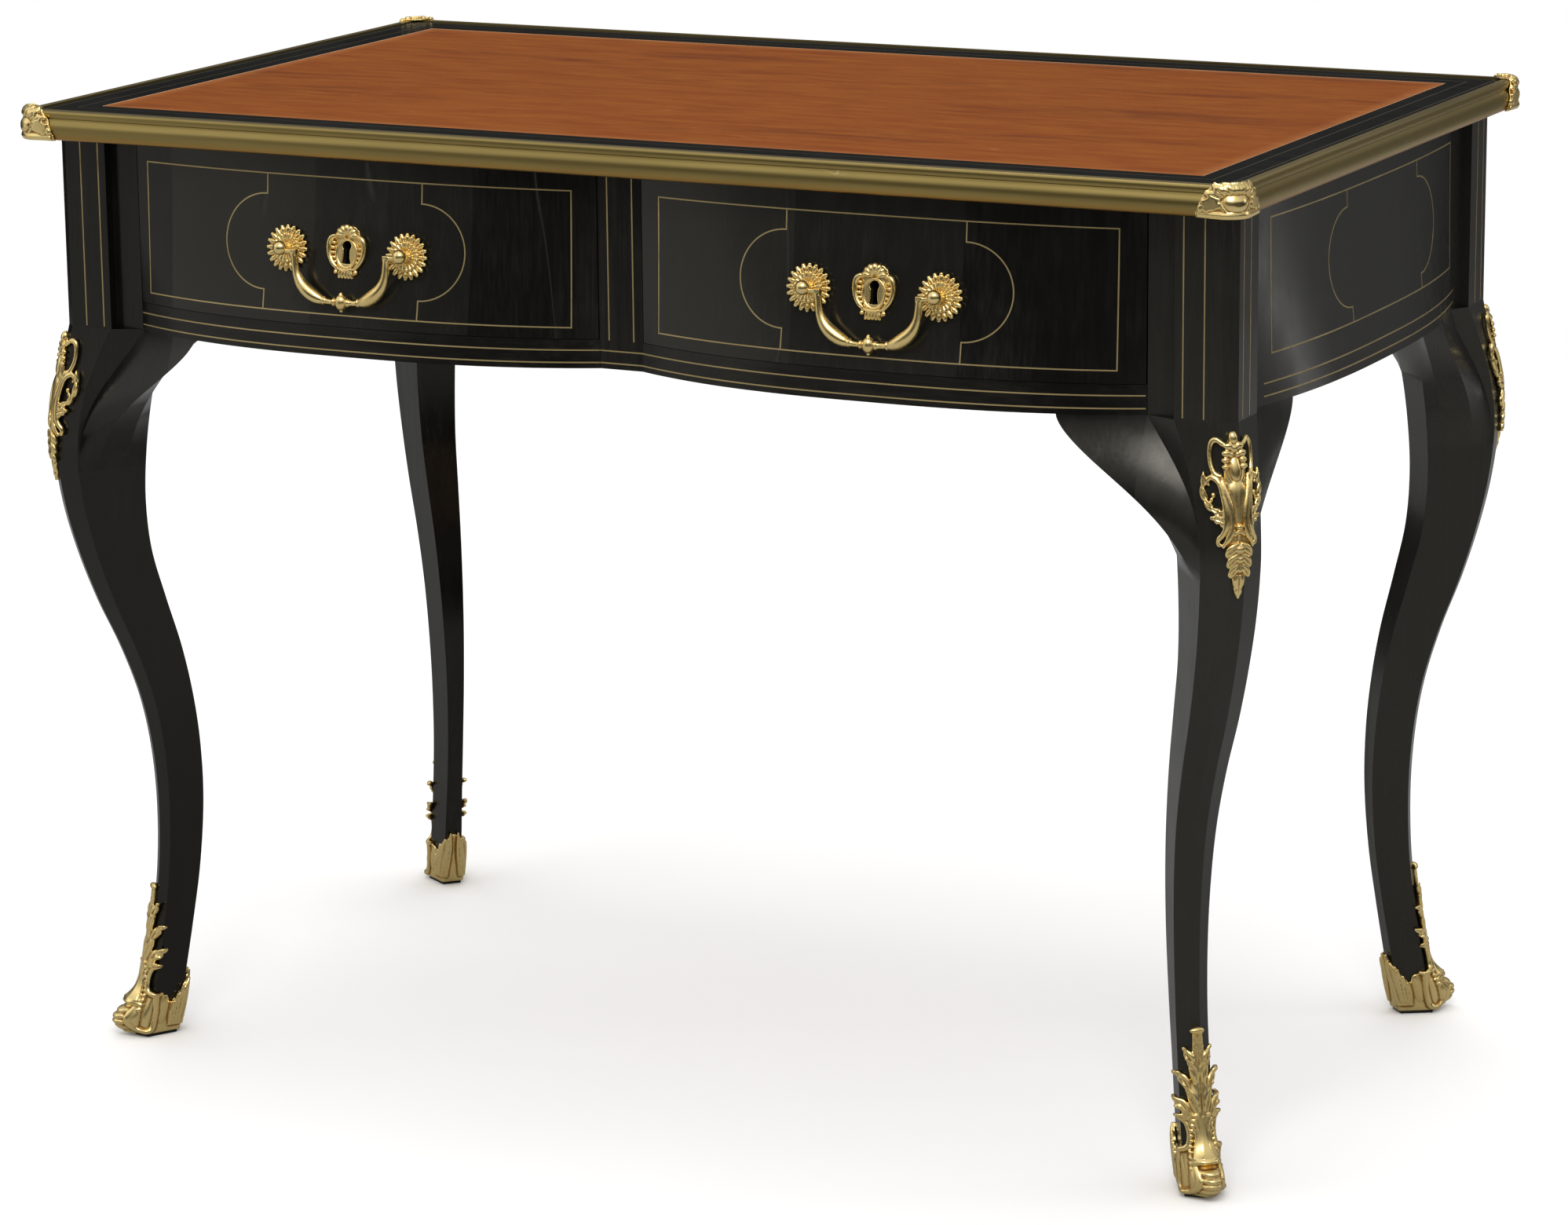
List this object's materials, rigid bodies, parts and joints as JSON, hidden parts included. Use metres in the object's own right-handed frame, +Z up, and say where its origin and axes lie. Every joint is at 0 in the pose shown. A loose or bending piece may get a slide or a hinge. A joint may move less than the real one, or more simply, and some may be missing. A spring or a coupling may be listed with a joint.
{
  "type": "bureau plat",
  "caption": "Ebonised bureau plat on cabriole legs, with a leather writing surface, brass edge and stringing, bowed frieze drawers and gilt bronze handles, keyhole plates and foot mounts.",
  "frame": {"origin": "on the floor, under the middle of the top", "axes": "+X to the right-hand end, +Y to the back, +Z up; the drawers face -Y"},
  "size_m": [1.032, 0.624, 0.773],
  "materials": {
    "ebonised_wood": "french polished black",
    "oak": "bare, aged",
    "gilt_bronze": "gilt, burnished and matt",
    "brass_moulding": "satin, toned",
    "leather": "waxed, worn",
    "lock_steel": "aged"
  },
  "bodies": {
    "carcass": {"leg_front_left": "ebonised_wood", "chute_front_left": "gilt_bronze", "sabot_front_left": "gilt_bronze", "clasp_front_left": "gilt_bronze", "leg_front_right": "ebonised_wood", "chute_front_right": "gilt_bronze", "sabot_front_right": "gilt_bronze", "clasp_front_right": "gilt_bronze", "leg_back_left": "ebonised_wood", "chute_back_left": "gilt_bronze", "sabot_back_left": "gilt_bronze", "clasp_back_left": "gilt_bronze", "leg_back_right": "ebonised_wood", "chute_back_right": "gilt_bronze", "sabot_back_right": "gilt_bronze", "clasp_back_right": "gilt_bronze", "side_panel_left": "ebonised_wood", "front_rail_left": "ebonised_wood", "back_rail_left": "ebonised_wood", "back_panel_left": "ebonised_wood", "outer_runner_left": "oak", "side_panel_right": "ebonised_wood", "front_rail_right": "ebonised_wood", "back_rail_right": "ebonised_wood", "back_panel_right": "ebonised_wood", "outer_runner_right": "oak", "front_centre_stile": "ebonised_wood", "back_centre_stile": "ebonised_wood", "border": "ebonised_wood", "centre_divider": "oak", "centre_runner": "oak", "top_board": "oak", "leather": "leather", "moulding_front": "brass_moulding", "moulding_back": "brass_moulding", "moulding_left": "brass_moulding", "moulding_right": "brass_moulding"},
    "drawer_left": {"drawer_front_left": "ebonised_wood", "drawer_inner_side_left": "oak", "drawer_outer_side_left": "oak", "drawer_back_left": "oak", "drawer_bottom_left": "oak", "inner_rosette_left": "gilt_bronze", "outer_rosette_left": "gilt_bronze", "keyhole_plate_left": "gilt_bronze", "lock_case_left": "lock_steel"},
    "handle_left": {"bail_left": "gilt_bronze"},
    "bolt_left": {"lock_bolt_left": "lock_steel"},
    "drawer_right": {"drawer_front_right": "ebonised_wood", "drawer_inner_side_right": "oak", "drawer_outer_side_right": "oak", "drawer_back_right": "oak", "drawer_bottom_right": "oak", "inner_rosette_right": "gilt_bronze", "outer_rosette_right": "gilt_bronze", "keyhole_plate_right": "gilt_bronze", "lock_case_right": "lock_steel"},
    "handle_right": {"bail_right": "gilt_bronze"},
    "bolt_right": {"lock_bolt_right": "lock_steel"}
  },
  "joints": [
    {"name": "drawer_left_slide", "type": "slide", "parent": "carcass", "child": "drawer_left", "axis": [0, -1, 0], "range_m": [0, 0.3]},
    {"name": "handle_left_hinge", "type": "hinge", "parent": "drawer_left", "child": "handle_left", "pos_m": [-0.22325, -0.30647, 0.6735], "axis": [-1, 0, 0], "range_deg": [0, 85]},
    {"name": "bolt_left_slide", "type": "slide", "parent": "drawer_left", "child": "bolt_left", "axis": [0, 0, 1], "range_m": [0, 0.007]},
    {"name": "drawer_right_slide", "type": "slide", "parent": "carcass", "child": "drawer_right", "axis": [0, -1, 0], "range_m": [0, 0.3]},
    {"name": "handle_right_hinge", "type": "hinge", "parent": "drawer_right", "child": "handle_right", "pos_m": [0.22325, -0.30647, 0.6735], "axis": [-1, 0, 0], "range_deg": [0, 85]},
    {"name": "bolt_right_slide", "type": "slide", "parent": "drawer_right", "child": "bolt_right", "axis": [0, 0, 1], "range_m": [0, 0.007]}
  ]
}
